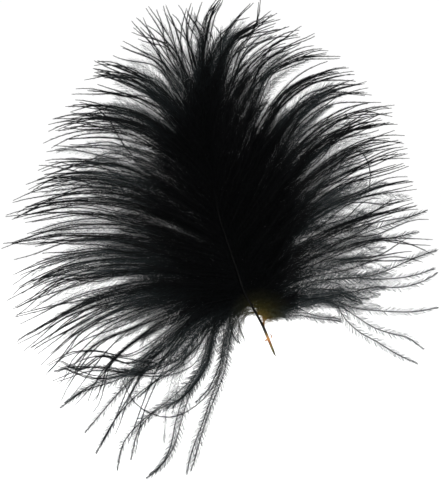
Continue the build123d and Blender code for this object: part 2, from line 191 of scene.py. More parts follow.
# The same for strands whose barbules lie close
SLEEK = [
    ("left_base_barbs", 2, 2, [(-6.9, 14.0), (-10.8, 13.5), (-11.9, 10.0), (-11.2, 6.4), (-9.6, 3.0)]),
    ("left_base_barbs", 2, -4, [(-7.0, 14.4), (-14.6, 12.4), (-17.0, 5.4), (-18.8, -3.0), (-23.4, -9.8),
                                (-28.4, -15.4)]),
    ("left_base_barbs", 2, -9, [(-7.2, 15.2), (-19.6, 13.4), (-26.4, 6.4), (-31.0, 0.6), (-37.4, -2.6)]),
    ("left_base_barbs", 2, 4, [(-7.2, 15.0), (-17.0, 11.0), (-20.4, 4.6), (-25.0, -0.6), (-34.5, -8.0),
                               (-39.0, -12.6)]),
    ("left_base_barbs", 3, -6, [(-7.8, 16.2), (-18.7, 4.8), (-22.6, -1.8), (-31.8, -5.1),
                                (-41.7, -3.8), (-48.3, -3.1), (-60.4, -6.6)]),
    ("left_base_barbs", 3, -2, [(-7.8, 16.3), (-21.3, 8.4), (-29.2, 0.8), (-34.5, -3.8),
                                (-43.0, -6.0), (-50.0, -7.0), (-60.7, -3.1)]),
    ("left_base_barbs", 3, 2, [(-7.8, 16.4), (-22.0, 10.0), (-32.0, 2.0), (-40.0, -3.0),
                               (-48.0, -1.0), (-54.0, -4.8), (-60.0, -2.2)]),
    ("left_base_barbs", 2, 5, [(-7.8, 16.4), (-24.0, 11.0), (-34.0, 3.4), (-42.0, -1.0),
                               (-52.0, 0.4), (-58.0, -0.4), (-64.8, -4.2)]),
    ("right_middle_barbs", 1, -12, [(-6.0, 15.0), (8.0, 40.0), (17.5, 53.5), (22.0, 56.4),
                                    (24.6, 54.0), (25.8, 49.5), (25.4, 44.5)]),
    ("left_base_barbs", 1, -9, [(-7.9, 16.6), (-24.0, 15.6), (-38.0, 11.4), (-46.0, 8.0),
                                (-52.4, 2.4), (-55.6, -1.6), (-57.0, -5.6)]),
    ("left_base_barbs", 1, -12, [(-7.0, 14.4), (-13.6, 5.0), (-16.4, -7.6), (-22.0, -13.6),
                                 (-28.1, -16.3), (-34.0, -15.4), (-39.1, -12.0), (-42.4, -6.4)]),
    ("left_upper_barbs", 1, -13, [(-18.0, 46.0), (-33.0, 52.0), (-39.0, 55.0), (-42.8, 59.9),
                                  (-45.6, 64.8), (-49.4, 68.3)]),
    ("crown_left_barbs", 2, -4, [(-18.9, 60.0), (-24.4, 72.7), (-28.2, 78.4), (-33.2, 85.9),
                                 (-39.2, 93.1)]),
    ("crown_left_barbs", 1, 2, [(-18.9, 61.0), (-22.4, 69.0), (-28.8, 77.7), (-33.8, 87.2),
                                (-37.0, 95.0)]),
    ("crown_left_barbs", 2, -8, [(-18.9, 62.0), (-24.4, 75.2), (-28.2, 85.3), (-31.9, 91.6),
                                 (-35.1, 96.0)]),
    ("crown_left_barbs", 1, -2, [(-19.0, 63.0), (-24.0, 73.4), (-30.7, 86.5), (-31.6, 92.8),
                                 (-32.9, 96.6)]),
    ("crown_left_barbs", 2, -5, [(-19.0, 64.0), (-22.5, 74.0), (-26.6, 86.5), (-28.8, 93.5),
                                 (-30.1, 97.2)]),
    ("crown_left_barbs", 1, 3, [(-19.0, 65.0), (-21.7, 71.6), (-26.0, 83.0), (-26.0, 92.2),
                                (-24.7, 97.2)]),
    ("crown_left_barbs", 2, -10, [(-19.0, 66.0), (-22.8, 78.4), (-24.8, 87.2), (-24.6, 93.6),
                                  (-23.5, 97.2)]),
    ("crown_left_barbs", 1, -3, [(-19.0, 68.0), (-21.4, 78.4), (-23.5, 88.4), (-21.8, 94.0),
                                 (-20.3, 98.6)]),
    ("crown_right_barbs", 2, -6, [(-17.9, 58.0), (-15.6, 77.7), (-16.6, 83.4), (-16.3, 87.8),
                                  (-18.1, 91.3)]),
    ("crown_right_barbs", 2, 2, [(-17.8, 57.0), (-16.2, 77.1), (-15.8, 86.8), (-12.1, 92.0),
                                 (-7.1, 97.5)]),
    ("crown_right_barbs", 2, -8, [(-17.6, 55.0), (-12.4, 75.9), (-9.8, 84.0), (-5.2, 91.6),
                                  (-4.3, 97.9)]),
    ("crown_right_barbs", 2, -3, [(-17.8, 57.0), (-15.0, 80.3), (-11.8, 88.4), (-5.8, 91.6),
                                  (-1.1, 96.0)]),
    ("crown_right_barbs", 2, 4, [(-17.6, 55.0), (-15.0, 80.0), (-11.5, 87.2), (-5.6, 90.4),
                                 (0.1, 92.8)]),
    ("crown_right_barbs", 2, -6, [(-17.2, 51.0), (-12.4, 74.4), (-9.4, 83.0), (-4.4, 87.5),
                                  (0.1, 89.1)]),
    ("crown_right_barbs", 2, -1, [(-16.9, 49.0), (-10.6, 75.0), (-7.0, 82.6), (-0.6, 86.8),
                                  (7.0, 88.1)]),
    ("crown_right_barbs", 2, -9, [(-16.8, 48.0), (-8.6, 71.6), (-4.2, 80.9), (2.2, 85.4),
                                  (10.2, 88.3)]),
    ("crown_right_barbs", 2, 3, [(-16.4, 45.0), (-6.9, 70.0), (-3.0, 78.6), (4.0, 82.8), (13.9, 84.8)]),
    ("crown_right_barbs", 2, -4, [(-16.2, 43.0), (-5.0, 69.0), (-0.8, 78.0), (7.0, 81.6),
                                  (18.0, 82.3)]),
    ("crown_right_barbs", 2, -7, [(-15.2, 38.0), (-2.2, 62.4), (2.6, 72.1), (9.0, 76.6),
                                  (17.7, 78.4)])]
# The tuft's thick strand, given in the same way
TUFT = [("crown_tuft", 9, -4, [(-18.6, 68.0), (-19.6, 77.7), (-20.6, 83.4), (-19.4, 89.6),
                               (-18.0, 94.8), (-15.6, 98.6)])]
# How far apart the barbs of such a strand are, the scatter of their lean, and how high they wave
OWN_SPREAD, OWN_LEAN, OWN_WAVE = 0.75 * MM, 2.0, 0.3 * MM

# The vane's ordinary barbs. Swing is the scatter of their direction in the vane's plane and lean is
# how far they stand out of it, in degrees. Cut is the share of their whole way that they cover, wave
# is how high they wave, and the veil's barbs also scatter along the shaft
DOWN_SWING, DOWN_CUT, DOWN_LEAN, DOWN_WAVE = 6, (0.4, 1.25), (-14, 8), 0.7 * MM
VEIL_SWING, VEIL_CUT, VEIL_LEAN, VEIL_WAVE = 4, (0.42, 0.9), (-12, 7), 0.8 * MM
VEIL_SCATTER = 0.5 * MM
SINGLE_SWING, SINGLE_CUT, SINGLE_LEAN, SINGLE_WAVE = 4.5, (0.8, 1.0), (-13, 6), 1.5 * MM
# A strand of them: its barbs (from, below), how far it is from its even place and its barbs' roots
# from its middle, in steps from strand to strand, its own swing, lean, cut and wave, and the scatter
# of its barbs about its swing, lean and cut
STRAND_BARBS = (2, 5)
STRAND_PLACE, STRAND_FOOT = 0.5, 0.9
STRAND_SWING, STRAND_LEAN, STRAND_CUT, STRAND_WAVE = 2.8, (-13, 4), 0.04, 0.9 * MM
BESIDE_SWING, BESIDE_LEAN, BESIDE_CUT = 3.0, 2, 0.05
# Where a strand's barbs meet, how closely, and how far they part again, as shares
MEET, GRIP, PART = (0.58, 0.85), (0.55, 0.85), (0.0, 0.7)

# Fluff and aftershaft barbs: for each CAD blade how many there are, how far below its first free
# point they leave their shaft, how high they wave, and the seeds of their and the tuft's randomness
FLUFF_COPIES = 2
ROOT_DROP = 0.6 * MM
FLUFF_WAVE, AFTERSHAFT_WAVE = 0.5 * MM, 2.0 * MM
FLUFF_SEED, TUFT_SEED = 3, 16

# The foot of the shaft, where the keratin is amber, and how far from there it is fully black
FOOT = (-3.6 * MM, 0.8 * MM, 9.2 * MM)
DYE_REACH = 10.0 * MM
# The middle of the plume's black core with its height squeezed, as the core is tall, and how far
# from it the barbules take their palest painted light: a grey painted on more and more towards the
# plume's edges, standing in for light showing through the thin outer fuzz
CORE = (-13.5 * MM, 0.0, 29.0 * MM)
CORE_SQUEEZE = (1.0, 1.0, 0.68)
PAINTED_LIGHT_REACH = 55.0 * MM
# The dye's speckle: its scale, detail, the stretch of the noise used, and its darkest and brightest
SPECKLE, SPECKLE_DETAIL = 1400.0, 3
SPECKLE_NOISE, SPECKLE_LEVELS = (0.3, 0.7), (0.55, 1.6)
# The quill's colours run from its free end to its top, and the flakes' as far as their tips
QUILL_END = (0.0, 0.0, 0.0)
QUILL_LENGTH, SHEATH_REACH = 8.2 * MM, 6.4 * MM

# Bodies whose pieces are left unattached here, each with (x, z) in millimetres where its pieces start to
# leave the shaft and where they move freely; only the bodies' names are read
LET_GO = {"left_lower": ((-10.9, 27.0), (-19.4, 24.0)), "left_upper": ((-19.0, 57.0), (-28.5, 56.0)),
          "right_lower": ((-8.0, 24.0), (1.4, 27.2)), "right_upper": ((-13.5, 50.0), (-3.5, 51.1)),
          "crown": ((-18.2, 56.0), (-19.0, 76.0))}

# Quill, from its top to its hooked point: (x, z, radius) in millimetres
QUILL = [(-3.20, 7.80, 0.40), (-2.50, 6.10, 0.40), (-1.80, 4.40, 0.39), (-1.11, 2.70, 0.37),
         (-0.67, 1.62, 0.345), (-0.31, 0.75, 0.31), (-0.06, 0.12, 0.23), (0.20, -0.34, 0.13),
         (0.36, -0.70, 0.05)]
# Main shaft, its thin top and the aftershaft: (x, y, z, radius) in millimetres, foot to top
RACHIS = [(-3.12, 0, 7.62, 0.37), (-4.40, 0, 10.0, 0.34), (-5.60, 0, 12.2, 0.33), (-8.10, 0, 16.6, 0.32),
          (-10.4, 0, 23.3, 0.30), (-13.3, 0, 31.8, 0.28), (-15.7, 0, 39.5, 0.26), (-17.0, 0, 49.6, 0.23),
          (-18.4, 0, 58.5, 0.20), (-19.0, 0, 67.2, 0.17)]
TOP = [(-19.0, 0, 66.9, 0.17), (-19.0, 0, 74.0, 0.14), (-18.5, 0, 82.0, 0.11), (-17.7, 0, 90.0, 0.07)]
HYPORACHIS = [(-2.92, 0.20, 7.60, 0.20), (-3.0, 0.9, 10.2, 0.22), (-2.5, 1.7, 14.5, 0.18),
              (-2.6, 2.3, 20.0, 0.15), (-4.4, 3.0, 29.0, 0.12), (-7.2, 3.5, 38.0, 0.08)]
# Points round a quill or shaft, and rings along it
TUBE_SIDES, TUBE_RINGS = 16, 70
# How many of a shaft's first rows carry no barbules of their own
BARE_ROWS = 2
# Sheath flakes: foot (x, y, z) in millimetres, way out and way up as they leave the quill, width and
# length in millimetres, and how far each curls up, or down if negative, in degrees
FLAKES = [((-1.90, -0.25, 4.30), (-0.75, -0.60, -0.28), (0.28, 0.0, 0.96), 0.95, 1.10, -35),
          ((-1.32, -0.22, 4.45), (0.72, -0.62, 0.20), (-0.28, 0.0, 0.96), 0.62, 1.70, 140),
          ((-1.78, -0.36, 5.05), (-0.45, -0.86, 0.05), (-0.38, 0.0, 0.92), 0.50, 0.70, 60)]
# Rows and columns of points in a flake, how much narrower it is at its end, how deeply it is cupped
# for its width, and its thickness
FLAKE_GRID = (14, 7)
FLAKE_NARROWING, FLAKE_CUP = 0.75, 0.5
FLAKE_THICKNESS = 0.035 * MM
# The shallow groove down the front of the quill and each shaft: its place round them in radians, its
# depth as a share of the radius, and its width in radians
GROOVE_AT, GROOVE_DEPTH, GROOVE_WIDTH = math.pi / 2, 0.18, 0.35

# Camera: the height it takes in at the plume, where it looks, its lens and sensor in millimetres,
# and how near and far it sees in metres
VIEW_SIZE = 135.5 * MM
VIEW_CENTRE = Vector((-15.0, 0.0, 31.4)) * MM
LENS, SENSOR = 100.0, 36.0
NEAREST, FARTHEST = 0.01, 20
# Stage: the floor's size, drop below the plume, brightness, roughness and glow, the brightness of
# the white all round, and the soft light's place, aim, size in metres and power in watts
FLOOR_SIZE, FLOOR_DROP = 8.0, 1.5 * MM
FLOOR_WHITE, FLOOR_ROUGHNESS, FLOOR_GLOW = 0.95, 0.9, 0.35
WHITE = (1, 1, 1, 1)
SKY_STRENGTH = 1.02
KEY_PLACE, KEY_AIM, KEY_SIZE, KEY_POWER = (-0.5, -0.7, 0.7), (0, 0, 0.03), 0.5, 6.0


def mesh_object(name, verts, faces, slots, materials):
    """A mesh object from arrays of corners, triangles and material slot numbers."""
    mesh = bpy.data.meshes.new(name)
    mesh.vertices.add(len(verts))
    mesh.vertices.foreach_set("co", np.ascontiguousarray(verts, np.float32).ravel())
    mesh.loops.add(faces.size)
    mesh.loops.foreach_set("vertex_index", np.ascontiguousarray(faces, np.int32).ravel())
    mesh.polygons.add(len(faces))
    mesh.polygons.foreach_set("loop_start", np.arange(len(faces), dtype=np.int32) * 3)
    mesh.polygons.foreach_set("loop_total", np.full(len(faces), 3, np.int32))
    mesh.polygons.foreach_set("material_index", np.ascontiguousarray(slots, np.int32))
    for material in materials:
        mesh.materials.append(material)
    mesh.update(calc_edges=True)
    piece = bpy.data.objects.new(name, mesh)
    bpy.context.scene.collection.objects.link(piece)
    return piece


def loose_parts(mesh):
    """The corners of each loose part of a mesh, with coinciding corners merged."""
    corners = np.zeros(len(mesh.vertices) * 3, np.float32)
    mesh.vertices.foreach_get("co", corners)
    rounded = np.round(corners.reshape(-1, 3), MERGE_DECIMALS)
    merged, index = np.unique(rounded, axis=0, return_inverse=True)
    edges = np.zeros(len(mesh.edges) * 2, np.int32)
    mesh.edges.foreach_get("vertices", edges)
    edges = index.ravel()[edges.reshape(-1, 2)]
    label = np.arange(len(merged))
    while True:
        lower = label.copy()
        np.minimum.at(lower, edges[:, 0], label[edges[:, 1]])
        np.minimum.at(lower, edges[:, 1], label[edges[:, 0]])
        lower = lower[lower]
        if np.array_equal(lower, label):
            return [merged[label == part] for part in np.unique(label)]
        label = lower


def ring_centres(corners, rings):
    """The centres of the rings that a long thin CAD solid is made of, end to end."""
    middle = corners.mean(axis=0)
    first = corners[np.argmax(np.linalg.norm(corners - middle, axis=1))]
    last = corners[np.argmax(np.linalg.norm(corners - first, axis=1))]
    parts = np.array_split(corners[np.argsort((corners - first) @ (last - first))], rings)
    line = np.array([part.mean(axis=0) for part in parts])
    breadth = [np.linalg.norm(part - part.mean(axis=0), axis=1).mean() for part in parts]
    return line if breadth[0] > breadth[-1] else line[::-1]


def guide_lines(node, rings=GUIDE_RINGS):
    """The centre lines of a CAD node's solids, root to tip, ordered up the shaft."""
    lines = [ring_centres(part, rings) for part in loose_parts(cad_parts[node].data)]
    return np.array(sorted(lines, key=lambda line: line[0][2]))


def smooth_line(line, shares):
    """Points at shares of a line's length, on a smooth curve through its points."""
    steps = np.linalg.norm(np.diff(line, axis=0), axis=1)
    at = np.concatenate([[0.0], np.cumsum(steps)])
    at /= at[-1]
    slopes = np.gradient(line, at, axis=0)
    low = np.clip(np.searchsorted(at, shares, side="right") - 1, 0, len(at) - 2)
    gap = (at[low + 1] - at[low])[:, None]
    t = (shares - at[low])[:, None] / gap
    return ((2 * t ** 3 - 3 * t ** 2 + 1) * line[low] + (t ** 3 - 2 * t ** 2 + t) * gap * slopes[low]
            + (3 * t ** 2 - 2 * t ** 3) * line[low + 1] + (t ** 3 - t ** 2) * gap * slopes[low + 1])


def ease(t):
    """A smooth step from 0 to 1."""
    t = np.clip(t, 0.0, 1.0)
    return t * t * (3 - 2 * t)


def leaned(flat, leans):
    """Lines in the vane's plane, leaned out of it by their own angles in degrees."""
    out = np.linalg.norm(flat - flat[:, :1], axis=2)
    y = out * np.tan(np.radians(leans))[:, None]
    return np.stack([flat[..., 0], y, flat[..., 1]], axis=2)


def waved(lines, size, rng):
    """Lines with a gentle random wave, in their plane and out of it, that grows from the root."""
    way = np.gradient(lines, axis=1)
    way /= np.linalg.norm(way, axis=2)[..., None]
    across = np.cross(way, (0.0, 1.0, 0.0))
    moved = lines.copy()
    for turns in WAVE_TURNS:
        phase = rng.uniform(0, math.tau, (len(lines), 2, 1))
        height = rng.normal(0, size / turns, (len(lines), 2, 1))
        wave = (np.sin(SHARE * turns * math.tau + phase) - np.sin(phase)) * height * SHARE
        moved += across * wave[:, 0, :, None]
        moved[..., 1] += wave[:, 1]
    return moved


def read_vane(nodes, sweep, side):
    """Where the CAD blades of one side of the vane end, against the height of their roots."""
    guides = np.concatenate([guide_lines(node) for node in nodes])
    guides = guides[np.argsort(guides[:, 0, 2])]
    last = guides[:, -1] - guides[:, -2]
    heights, roots, headings = np.array(sweep, float).T
    return {"height": guides[:, 0, 2], "tip": guides[:, -1][:, [0, 2]], "side": side,
            "arrive": np.unwrap(np.arctan2(last[:, 2], last[:, 0])),
            "sweep": (heights * MM, roots * MM, np.radians(headings))}


def vane_lines(vane, heights, swings, cuts, leans, rng):
    """Barbs of one side of the vane, for CAD blades that would start at the given heights, each
    as much of its whole way as its cut says."""
    tip = np.stack([np.interp(heights, vane["height"], vane["tip"][:, k]) for k in (0, 1)], axis=1)
    arrive = np.interp(heights, vane["height"], vane["arrive"])
    at, roots, headings = vane["sweep"]
    root_z = np.interp(heights, at, roots)
    root_x = np.interp(root_z, SHAFT[:, 2], SHAFT[:, 0]) + vane["side"] * ROOT_GAP
    root = np.stack([root_x, root_z], axis=1)
    chord = tip - root
    turn = np.radians(swings)
    chord = np.stack([chord[:, 0] * np.cos(turn) - chord[:, 1] * np.sin(turn),
                      chord[:, 0] * np.sin(turn) + chord[:, 1] * np.cos(turn)], axis=1)
    tip = root + chord
    leave = np.interp(heights, at, headings) + turn * ROOT_SWING
    arrive = arrive + turn + np.radians(rng.normal(0, ARRIVE_SCATTER, len(heights)))
    span = np.linalg.norm(chord, axis=1)[:, None]
    ways = [np.stack([np.cos(angle), np.sin(angle)], axis=1) for angle in (leave, arrive)]
    pulls = [root, root + ways[0] * span * LEAVE_PULL, tip - ways[1] * span * ARRIVE_PULL, tip]
    t = SHARE[None, :, None] * cuts[:, None, None]
    weights = [(1 - t) ** 3, 3 * t * (1 - t) ** 2, 3 * t * t * (1 - t), t ** 3]
    flat = sum(pull[:, None, :] * weight for pull, weight in zip(pulls, weights))
    return leaned(flat, leans)


def gathered(lines, centre, meet, grip, part):
    """A strand's barbs drawn in to its centre line partway out, and parting again at the tips."""
    hold = grip * ease(SHARE / meet) ** 1.5 * (1 - part * ease((SHARE - meet) / (1 - meet)))
    return lines + (centre - lines) * hold[None, :, None]


def own_way(rows, node, rng):
    """The barbs of the strands of a stretch that go their own way."""
    lines = [np.zeros((0, LINE_POINTS, 3))]
    for name, count, lean, points in rows:
        if name != node:
            continue
        flat = smooth_line(np.array(points) * MM, SHARE)
        apart = rng.normal(0, OWN_SPREAD, (count, 2)) * (count > 1)
        spread = np.sin(SHARE * math.pi) ** 0.5 + 0.7 * SHARE ** 3
        flats = flat + apart[:, None, :] * spread[None, :, None]
        lines.append(waved(leaned(flats, lean + rng.normal(0, OWN_LEAN, count)), OWN_WAVE, rng))
    return np.concatenate(lines)


def rooted(lines, shaft):
    """Barbs carried on down to their shaft, which is given as rows of (x, y, z, radius). A barb
    whose end is nearer to the shaft than its start is turned round first."""
    stem = smooth_line(np.array(shaft)[:, :3] * MM, np.linspace(0.0, 1.0, TUBE_RINGS))
    off = np.linalg.norm(stem[None, None] - lines[:, [0, -1], None], axis=3).min(axis=2)
    lines = np.where((off[:, 0] > off[:, 1])[:, None, None], lines[:, ::-1], lines)
    below = lines[:, 0] - np.array([0.0, 0.0, ROOT_DROP])
    nearest = np.linalg.norm(stem[None] - below[:, None], axis=2).argmin(axis=1)
    return np.concatenate([stem[nearest][:, None], lines], axis=1)


def down_barbs(vane, low, high, count, reach, rng):
    """The short downy barbs that fill a stretch of the vane near the shaft."""
    lines = vane_lines(vane, rng.uniform(low, high, count), rng.normal(0, DOWN_SWING, count),
                       reach * rng.uniform(*DOWN_CUT, count), rng.uniform(*DOWN_LEAN, count), rng)
    return waved(lines, DOWN_WAVE, rng)


def veil_barbs(vane, low, high, count, rng):
    """The single open barbs that lie evenly between the strands and blur them."""
    heights = np.linspace(low, high, count) + rng.normal(0, VEIL_SCATTER, count)
    lines = vane_lines(vane, heights, rng.normal(0, VEIL_SWING, count),
                       rng.uniform(*VEIL_CUT, count), rng.uniform(*VEIL_LEAN, count), rng)
    return waved(lines, VEIL_WAVE, rng)


def vane_barbs(vane, low, high, strands, rng):
    """The strands of a stretch of the vane, of a few barbs each, and as many single barbs."""
    lines = [np.zeros((0, LINE_POINTS, 3))]
    pitch = (high - low) / max(strands, 1)
    for strand in range(strands):
        count = rng.integers(*STRAND_BARBS)
        middle = low + pitch * (strand + 0.5 + rng.uniform(-STRAND_PLACE, STRAND_PLACE))
        heights = middle + pitch * rng.uniform(-STRAND_FOOT, STRAND_FOOT, count)
        swing, lean = rng.normal(0, STRAND_SWING), rng.uniform(*STRAND_LEAN)
        cut = 1 - abs(rng.normal(0, STRAND_CUT))
        centre = vane_lines(vane, np.array([middle]), np.array([swing]), np.array([cut]),
                            np.array([lean]), rng)
        own = vane_lines(vane, heights, swing + rng.normal(0, BESIDE_SWING, count),
                         cut - abs(rng.normal(0, BESIDE_CUT, count)),
                         lean + rng.normal(0, BESIDE_LEAN, count), rng)
        own = gathered(own, centre, rng.uniform(*MEET), rng.uniform(*GRIP), rng.uniform(*PART))
        lines.append(waved(own, STRAND_WAVE, rng))
    single = vane_lines(vane, rng.uniform(low, high, strands), rng.normal(0, SINGLE_SWING, strands),
                        rng.uniform(*SINGLE_CUT, strands), rng.uniform(*SINGLE_LEAN, strands), rng)
    return np.concatenate([*lines, waved(single, SINGLE_WAVE, rng)])


def line_frames(lines):
    """Unit vectors along, across and out of each line at each of its points."""
    along = np.gradient(lines, axis=1)
    along /= np.linalg.norm(along, axis=2)[..., None]
    across = np.cross(along, (0.0, 1.0, 0.0))
    across /= np.linalg.norm(across, axis=2)[..., None]
    return along, across, np.cross(along, across)


def barb_tubes(lines, frames, radii):
    """Closed four-sided tapering tubes along all the lines."""
    count, points, _ = lines.shape
    _, across, out = frames
    radius = np.interp(SHARE, *zip(*radii))[None, :, None]
    sides = [lines + across * radius, lines + out * radius, lines - across * radius,
             lines - out * radius]
    verts = np.stack(sides, axis=2).reshape(count, points * 4, 3)
    ring = np.arange(points - 1)[:, None] * 4
    side = np.arange(4)[None, :]
    a, b = ring + side, ring + (side + 1) % 4
    quads = np.stack([a, a + 4, b, b, a + 4, b + 4], axis=2).reshape(-1, 3)
    end = (points - 1) * 4
    caps = np.array([[0, 1, 2], [0, 2, 3], [end, end + 2, end + 1], [end, end + 3, end + 2]])
    one = np.concatenate([quads, caps])
    faces = (one[None] + (np.arange(count) * points * 4)[:, None, None]).reshape(-1, 3)
    return verts.reshape(-1, 3), faces


def barbule_spikes(lines, frames, look, step, half_width, clump, rng):
    """Closed thin slivers along both edges of all the lines, in clumps that cling. Each has an
    edge at its foot and an edge across that at its tip, so it looks as wide from all round."""
    points = lines.shape[1]
    lengths = np.linalg.norm(np.diff(lines, axis=1), axis=2).sum(axis=1)
    counts = (lengths * BARBULED / step).astype(int) * 2
    barb = np.repeat(np.arange(len(lines)), counts)
    number = np.concatenate([np.arange(n) for n in counts])
    pair = number // 2
    first = np.arange(len(number)) - 2 * (pair % clump)
    place = (pair - (pair % clump) * CLINGING * (clump > 1)
             + rng.uniform(0, PLACE_SCATTER, len(number)))
    share = FIRST_BARBULE + BARBULED * place / (counts[barb] / 2)
    low = np.clip((share * (points - 1)).astype(int), 0, points - 2)
    t = (share * (points - 1) - low)[:, None]
    foot = lines[barb, low] * (1 - t) + lines[barb, low + 1] * t
    along, across, out = (axis[barb, low] for axis in frames)
    stops, spans, angles = (np.array(column) for column in zip(*look))
    span = np.interp(share, stops, spans) * rng.uniform(*BARBULE_SPAN, len(share))
    bend = rng.normal(0, BARBULE_BEND, len(share))
    roll = rng.normal(0, BARBULE_ROLL, len(share))
    bend = bend[first] * BEND_SHARED + bend * BEND_OWN
    angle = np.radians(np.interp(share, stops, angles) + bend)
    roll = roll * ROLL_OWN + roll[first] * ROLL_SHARED
    side = np.where(number % 2 == 0, 1.0, -1.0)
    outward = across * (np.cos(roll) * side)[:, None] + out * np.sin(roll)[:, None]
    way = along * np.cos(angle)[:, None] + outward * np.sin(angle)[:, None]
    tip = foot + way * span[:, None]
    flat = np.cross(way, out)
    flat /= np.linalg.norm(flat, axis=1)[:, None]
    edge = np.cross(way, flat)
    wide = (flat + edge) * half_width * SQUARE
    tall = (flat - edge) * half_width * SQUARE * BARBULE_TAPER
    verts = np.stack([foot - wide, foot + wide, tip - tall, tip + tall], axis=1).reshape(-1, 3)
    one = np.array([[0, 1, 2], [0, 3, 1], [0, 2, 3], [1, 3, 2]])
    faces = (one[None] + (np.arange(len(foot)) * len(one))[:, None, None]).reshape(-1, 3)
    return verts, faces


def feather_pieces(name, body, lines, kind, rng, node):
    """Barbs with their barbules, in as few pieces as their faces allow, in place of a CAD node."""
    look, step, half_width, radii, clump = kind
    barbule = BARBULE if kind in (VEIL, FRINGE, LIGHT_FRINGE) else DARK_BARBULE
    length = np.linalg.norm(np.diff(lines, axis=1), axis=2).sum()
    count = math.ceil(2 * BARBULE_FACES * length / step / MOST_FACES)
    for number in range(count):
        own = lines[number::count]
        frames = line_frames(own)
        tubes, tube_faces = barb_tubes(own, frames, radii)
        spikes, spike_faces = barbule_spikes(own, frames, look, step, half_width, clump, rng)
        piece = mesh_object(name if count == 1 else f"{name}_{number + 1}",
                            np.concatenate([tubes, spikes]),
                            np.concatenate([tube_faces, spike_faces + len(tubes)]),
                            np.repeat([0, 1], [len(tube_faces), len(spike_faces)]),
                            [BARB, barbule])
        hold(piece, body)
        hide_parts(node)


def hold(piece, body):
    """Attaches a piece to its body; a piece of a body listed in LET_GO is left unattached, with its
    transform baked into its mesh.
    """
    if body not in LET_GO:
        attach(piece, body)
        return
    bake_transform(piece)


def round_piece(name, body, rows, material, node):
    """A round tapering piece along a smooth curve, closed at both ends."""
    rows = np.array(rows, float) * MM
    path = smooth_line(rows, np.linspace(0.0, 1.0, TUBE_RINGS))
    centres, radius = path[:, :3], path[:, 3]
    along = np.gradient(centres, axis=0)
    along /= np.linalg.norm(along, axis=1)[:, None]
    across = np.cross(along, (0.0, 1.0, 0.0))
    across /= np.linalg.norm(across, axis=1)[:, None]
    out = np.cross(along, across)
    turn = np.linspace(0, math.tau, TUBE_SIDES, endpoint=False)
    groove = 1 - GROOVE_DEPTH * np.exp(-((turn - GROOVE_AT) / GROOVE_WIDTH) ** 2)
    ring = (across[:, None] * np.cos(turn)[None, :, None]
            + out[:, None] * np.sin(turn)[None, :, None])
    verts = centres[:, None] + ring * (radius[:, None] * groove[None, :])[..., None]
    verts = np.concatenate([verts.reshape(-1, 3), centres[[0, -1]]])
    start = (np.arange(TUBE_RINGS - 1) * TUBE_SIDES)[:, None]
    here, after = np.arange(TUBE_SIDES), (np.arange(TUBE_SIDES) + 1) % TUBE_SIDES
    a, b = start + here, start + after
    sides = np.stack([a, b, a + TUBE_SIDES, b, b + TUBE_SIDES, a + TUBE_SIDES], axis=2)
    last = (TUBE_RINGS - 1) * TUBE_SIDES
    foot = np.stack([np.full(TUBE_SIDES, len(verts) - 2), after, here], axis=1)
    top = np.stack([np.full(TUBE_SIDES, len(verts) - 1), here + last, after + last], axis=1)
    faces = np.concatenate([sides.reshape(-1, 3), foot, top])
    piece = mesh_object(name, verts, faces, np.zeros(len(faces)), [material])
    piece.data.shade_smooth()
    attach(piece, body)
    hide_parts(node)


def flake_piece(name, foot, out, up, width, length, curl, material):
    """A papery flake of sheath that curls away from the quill, as a closed shell."""
    rows, columns = FLAKE_GRID
    foot, out, up = np.array(foot) * MM, np.array(out), np.array(up)
    share = np.linspace(0, 1, rows)
    heading = np.radians(curl) * share
    ways = out * np.cos(heading)[:, None] + up * np.sin(heading)[:, None]
    normals = up * np.cos(heading)[:, None] - out * np.sin(heading)[:, None]
    middle = foot + np.cumsum(ways, axis=0) * length * MM / rows
    across = np.cross(out, up)
    spread = np.linspace(-0.5, 0.5, columns)
    wide = width * MM * (1 - FLAKE_NARROWING * share ** 2)
    cup = -FLAKE_CUP * width * MM * spread ** 2
    sheet = (middle[:, None] + across * (wide[:, None] * spread[None])[..., None]
             + normals[:, None] * cup[None, :, None])
    shift = normals[:, None] * FLAKE_THICKNESS / 2
    verts = np.concatenate([(sheet + shift).reshape(-1, 3), (sheet - shift).reshape(-1, 3)])
    cell = (np.arange(rows - 1) * columns)[:, None] + np.arange(columns - 1)
    a, b, c, d = cell, cell + 1, cell + columns + 1, cell + columns
    top = np.stack([a, b, c, a, c, d], axis=2).reshape(-1, 3)
    edge = np.concatenate([np.arange(columns), np.arange(1, rows) * columns + columns - 1,
                           (rows - 1) * columns + np.arange(columns - 2, -1, -1),
                           np.arange(rows - 2, 0, -1) * columns])
    after, under = np.roll(edge, -1), rows * columns
    rim = np.stack([edge, edge + under, after, after, edge + under, after + under], axis=1)
    faces = np.concatenate([top, top[:, ::-1] + under, rim.reshape(-1, 3)])
    piece = mesh_object(name, verts, faces, np.zeros(len(faces)), [material])
    piece.data.shade_smooth()
    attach(piece, "quill")
    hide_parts("sheath_flakes")


def new_material(name, roughness, specular):
    """A material with its shader's own values set, and its nodes and links."""
    material = bpy.data.materials.new(name)
    material.use_nodes = True
    nodes, links = material.node_tree.nodes, material.node_tree.links
    shader = nodes["Principled BSDF"]
    shader.inputs["Roughness"].default_value = roughness
    shader.inputs["Specular IOR Level"].default_value = specular
    return material, nodes, links, shader


def colour_stops(nodes, stops):
    """A colour ramp with the given (place, colour) stops."""
    ramp = nodes.new("ShaderNodeValToRGB")
    elements = ramp.color_ramp.elements
    while len(elements) < len(stops):
        elements.new(1.0)
    for element, (place, colour) in zip(elements, stops):
        element.position, element.color = place, (*colour, 1)
    return ramp


